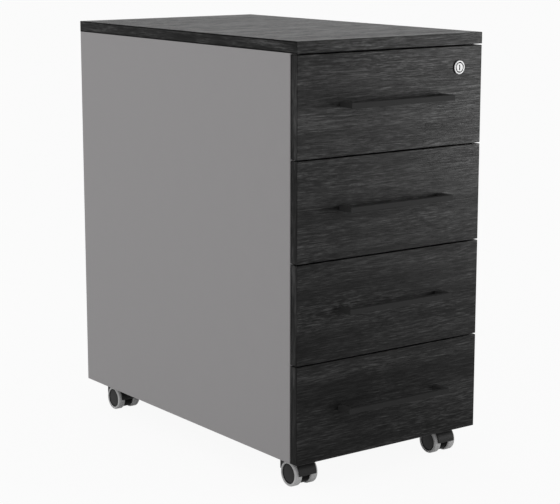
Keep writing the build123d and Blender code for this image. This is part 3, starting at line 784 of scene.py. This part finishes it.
def pale_floor():
    """Pale floor. The eye and reflections see it nearly white, and it keeps the object's shadow."""
    mesh = bmesh.new()
    bmesh.ops.create_grid(mesh, x_segments=1, y_segments=1, size=FLOOR_REACH)
    data = bpy.data.meshes.new("floor")
    mesh.to_mesh(data)
    mesh.free()
    floor = bpy.data.objects.new("floor", data)
    bpy.context.scene.collection.objects.link(floor)

    material = bpy.data.materials.new("pale_floor")
    material.use_nodes = True
    tree = material.node_tree
    tree.nodes.clear()
    share = tree.nodes.new("ShaderNodeMath")
    share.operation = "MULTIPLY"
    share.inputs[1].default_value = FLOOR_WHITE
    paint = tree.nodes.new("ShaderNodeBsdfDiffuse")
    paint.inputs["Color"].default_value = (FLOOR_PAINT, FLOOR_PAINT, FLOOR_PAINT, 1.0)
    glow = tree.nodes.new("ShaderNodeEmission")
    mix = tree.nodes.new("ShaderNodeMixShader")
    output = tree.nodes.new("ShaderNodeOutputMaterial")
    tree.links.new(white_for_seen(tree), share.inputs[0])
    tree.links.new(share.outputs[0], mix.inputs["Fac"])
    tree.links.new(paint.outputs[0], mix.inputs[1])
    tree.links.new(glow.outputs[0], mix.inputs[2])
    tree.links.new(mix.outputs[0], output.inputs["Surface"])
    data.materials.append(material)


def white_room():
    """Surroundings that give an even light, and that the eye and reflections see as white."""
    world = bpy.data.worlds.new("studio")
    bpy.context.scene.world = world
    world.use_nodes = True
    tree = world.node_tree
    tree.nodes.clear()
    light = tree.nodes.new("ShaderNodeBackground")
    light.inputs["Strength"].default_value = ROOM_LIGHT
    white = tree.nodes.new("ShaderNodeBackground")
    for background in (light, white):
        background.inputs["Color"].default_value = (1.0, 1.0, 1.0, 1.0)
    mix = tree.nodes.new("ShaderNodeMixShader")
    output = tree.nodes.new("ShaderNodeOutputWorld")
    tree.links.new(white_for_seen(tree), mix.inputs["Fac"])
    tree.links.new(light.outputs[0], mix.inputs[1])
    tree.links.new(white.outputs[0], mix.inputs[2])
    tree.links.new(mix.outputs[0], output.inputs["Surface"])


def lamp(kind, name, place, target, power, **settings):
    """Studio lamp aimed at a point. It lights the object, and isn't seen itself."""
    light = bpy.data.lights.new(name, kind)
    light.energy = power
    for setting, value in settings.items():
        setattr(light, setting, value)
    holder = bpy.data.objects.new(name, light)
    aim = (Vector(target) - Vector(place)).to_track_quat("-Z", "Y")
    holder.matrix_world = Matrix.Translation(place) @ aim.to_matrix().to_4x4()
    holder.visible_camera = False
    bpy.context.scene.collection.objects.link(holder)


def studio_lamps():
    """Two lamps from the right for the fronts, and a wide one for the left side."""
    lamp(
        "SPOT",
        "key_light",
        place=(1.60, -1.50, 0.50),
        target=(0.40, -0.30, 0.55),
        power=82.0,
        spot_size=math.radians(40),
        spot_blend=1.0,
        shadow_soft_size=0.25,
    )
    lamp(
        "SPOT",
        "near_light",
        place=(0.95, -0.80, 0.45),
        target=(0.30, -0.30, 0.55),
        power=16.0,
        spot_size=math.radians(70),
        spot_blend=1.0,
        shadow_soft_size=0.20,
    )
    lamp(
        "AREA",
        "side_light",
        place=(-2.6, -0.2, 1.6),
        target=(-0.18, 0.0, 0.4),
        power=13.4,
        size=1.8,
    )


def camera():
    """Camera at the photograph's viewing angle, aimed past the middle of the body."""
    low, high = cad_box
    middle = (Vector(low) + Vector(high)) / 2
    middle.y = VIEW_MIDDLE_Y
    level = math.cos(VIEW_ELEVATION)
    forward = Vector((
        -math.sin(VIEW_AZIMUTH) * level,
        math.cos(VIEW_AZIMUTH) * level,
        -math.sin(VIEW_ELEVATION),
    ))
    right = Vector((math.cos(VIEW_AZIMUTH), math.sin(VIEW_AZIMUTH), 0.0))
    up = right.cross(forward)
    eye = middle - forward * VIEW_DISTANCE + right * VIEW_RIGHT + up * VIEW_UP
    lens = bpy.data.cameras.new("camera")
    lens.sensor_fit = "HORIZONTAL"
    lens.sensor_width = SENSOR_WIDTH
    lens.lens = FOCAL_PIXELS / IMAGE_WIDTH * SENSOR_WIDTH
    viewer = bpy.data.objects.new("camera", lens)
    viewer.matrix_world = Matrix.Translation(eye) @ Matrix((right, up, -forward)).transposed().to_4x4()
    bpy.context.scene.collection.objects.link(viewer)
    bpy.context.scene.camera = viewer


lock_low, lock_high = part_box("lock_barrel")
lock_centre = (lock_low + lock_high) / 2
lock_centre.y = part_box("drawer_1_front")[0].y

finish = finishes(lock_centre)
dress_frame(finish)
for caster in CASTERS:
    for side in SIDES:
        wheel(caster, side, finish)
lock_face(finish, lock_centre)
for number in DRAWERS:
    box_hem(number, finish)
    drawer_screws(number, finish)

bpy.context.scene.view_settings.view_transform = "Standard"
pale_floor()
white_room()
studio_lamps()
camera()
